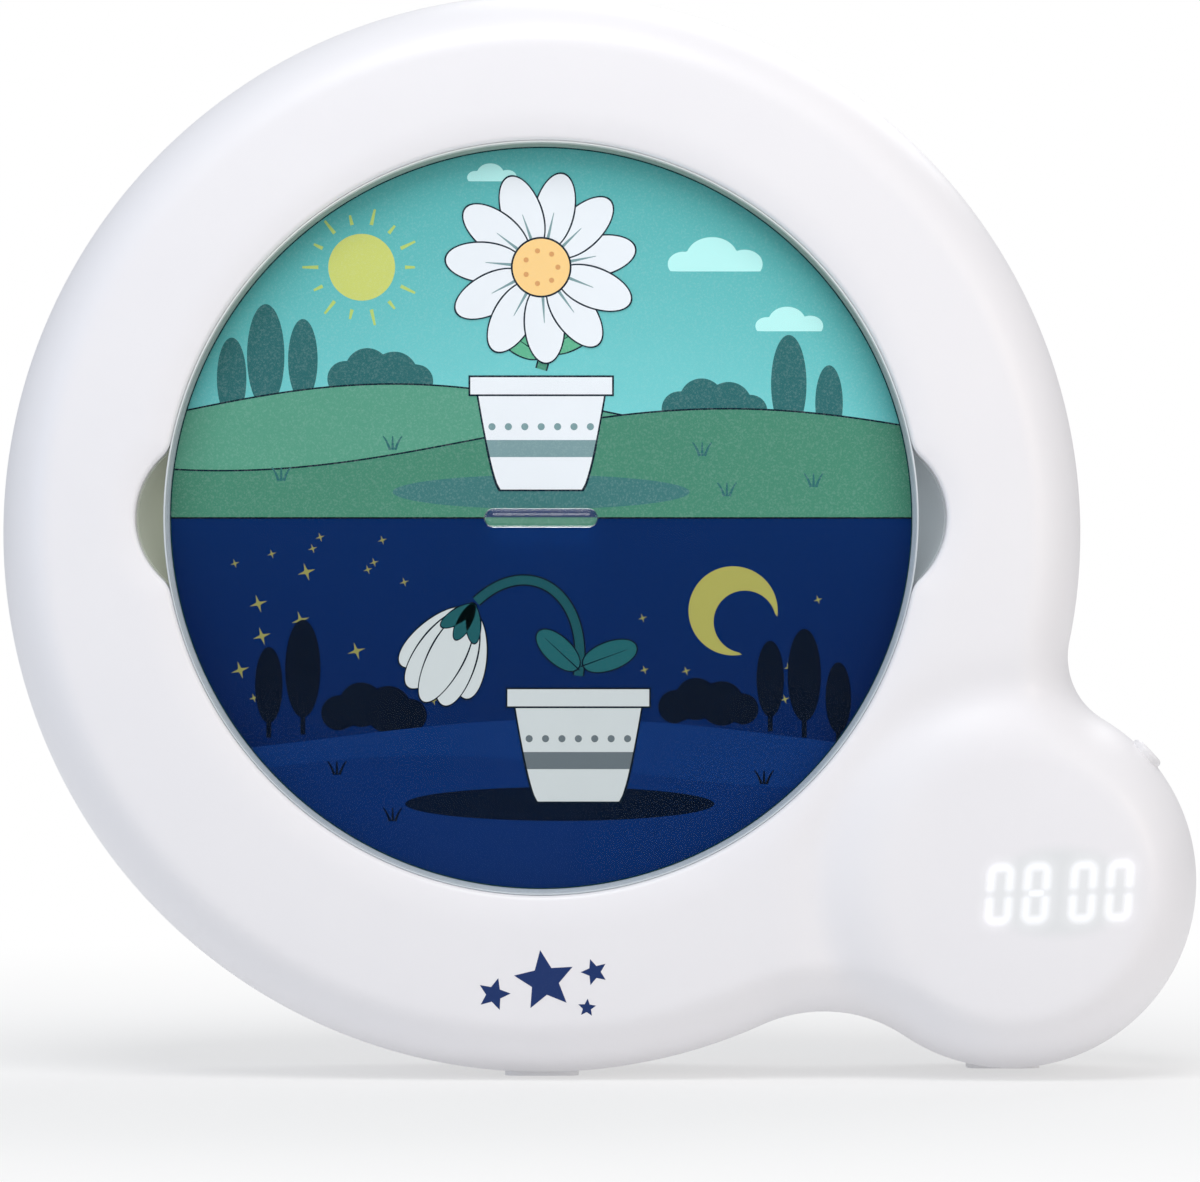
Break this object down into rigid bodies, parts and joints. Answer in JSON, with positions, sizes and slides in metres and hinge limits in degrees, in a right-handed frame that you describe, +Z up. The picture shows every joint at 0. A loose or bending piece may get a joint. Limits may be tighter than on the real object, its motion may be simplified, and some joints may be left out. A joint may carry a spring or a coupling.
{
  "type": "alarm clock with night light",
  "caption": "Child's alarm clock: a hollow ring round a backlit day and night picture, with a round pod for the glowing time display, on small rubber feet.",
  "frame": {"origin": "on the table, under the middle of the whole clock", "axes": "+X right as seen from the front, +Y towards the rear, +Z up; the picture faces -Y"},
  "size_m": [0.195, 0.054, 0.1765],
  "materials": {
    "housing_white": "fine satin moulded plastic, white",
    "lens_clear": "clear polished plastic",
    "picture": "printed film, day above and night below",
    "opal": "opal plastic sheet",
    "tray_grey": "silver grey moulded plastic",
    "board_green": "soldered circuit board with lacquer",
    "board_white": "white lacquered circuit board",
    "lamp": "light-emitting chip under a yellow cap, emissive",
    "chip_black": "black moulded component",
    "button_grey": "satin grey moulded button",
    "button_white": "satin white moulded button",
    "steel": "zinc-plated steel",
    "ferrite": "dark ferrite magnet",
    "paper_black": "black treated paper cone",
    "foam": "closed-cell foam ring",
    "cell": "plain printed cell jacket",
    "rubber": "grey soft rubber",
    "lead": "flexible plastic-covered lead"
  },
  "bodies": {
    "clock": {"aa_cells": "cell", "battery_contacts": "steel", "battery_lead": "lead", "battery_springs": "steel", "board_chips": "chip_black", "day_led_board": "board_white", "day_led_lead": "lead", "day_leds": "lamp", "diffuser": "opal", "digit_leds": "lamp", "display_board": "board_green", "display_driver": "chip_black", "display_film": "opal", "display_lead": "lead", "display_mask": "chip_black", "display_screws": "steel", "front_housing": "housing_white", "housing_screws": "steel", "light_box": "tray_grey", "light_box_screws": "steel", "light_divider": "tray_grey", "light_switch": "chip_black", "light_switch_board": "board_green", "light_switch_lead": "lead", "main_board": "board_green", "main_board_screws": "steel", "mode_switch_body": "chip_black", "night_led_board": "board_white", "night_led_lead": "lead", "night_leds": "lamp", "pod_foot": "rubber", "rear_housing": "housing_white", "ring_feet": "rubber", "speaker_basket": "steel", "speaker_cone": "paper_black", "speaker_gasket": "foam", "speaker_lead": "lead", "speaker_magnet": "ferrite", "tact_switches": "chip_black", "usb_inlet": "steel"},
    "picture_cover": {"clear_lens": "lens_clear", "picture_film": "picture"},
    "battery_cover": {"battery_door": "housing_white", "door_screw": "steel"},
    "mode_knob": {"mode_switch_knob": "button_grey"},
    "light_key": {"light_button": "button_white"},
    "key_hour": {"button_hour": "button_grey"},
    "key_minute": {"button_minute": "button_grey"},
    "key_alarm": {"button_alarm": "button_grey"},
    "key_volume": {"button_volume": "button_grey"},
    "key_timer": {"button_timer": "button_grey"}
  },
  "joints": [
    {"name": "press_hour", "type": "slide", "parent": "clock", "child": "key_hour", "axis": [0, -1, 0], "range_m": [0, 0.0006], "stiffness_N_per_m": 900},
    {"name": "press_minute", "type": "slide", "parent": "clock", "child": "key_minute", "axis": [0, -1, 0], "range_m": [0, 0.0006], "stiffness_N_per_m": 900},
    {"name": "press_alarm", "type": "slide", "parent": "clock", "child": "key_alarm", "axis": [0, -1, 0], "range_m": [0, 0.0006], "stiffness_N_per_m": 900},
    {"name": "press_volume", "type": "slide", "parent": "clock", "child": "key_volume", "axis": [0, -1, 0], "range_m": [0, 0.0006], "stiffness_N_per_m": 900},
    {"name": "press_timer", "type": "slide", "parent": "clock", "child": "key_timer", "axis": [0, -1, 0], "range_m": [0, 0.0006], "stiffness_N_per_m": 900},
    {"name": "press_light", "type": "slide", "parent": "clock", "child": "light_key", "axis": [-0.7314, 0, -0.682], "range_m": [0, 0.0006], "stiffness_N_per_m": 900},
    {"name": "slide_mode", "type": "slide", "parent": "clock", "child": "mode_knob", "axis": [1, 0, 0], "range_m": [-0.002, 0.002]},
    {"name": "remove_battery_door", "type": "slide", "parent": "clock", "child": "battery_cover", "axis": [0, 1, 0], "range_m": [0, 0.02]},
    {"name": "remove_picture", "type": "slide", "parent": "clock", "child": "picture_cover", "axis": [0, -1, 0], "range_m": [0, 0.015]}
  ]
}
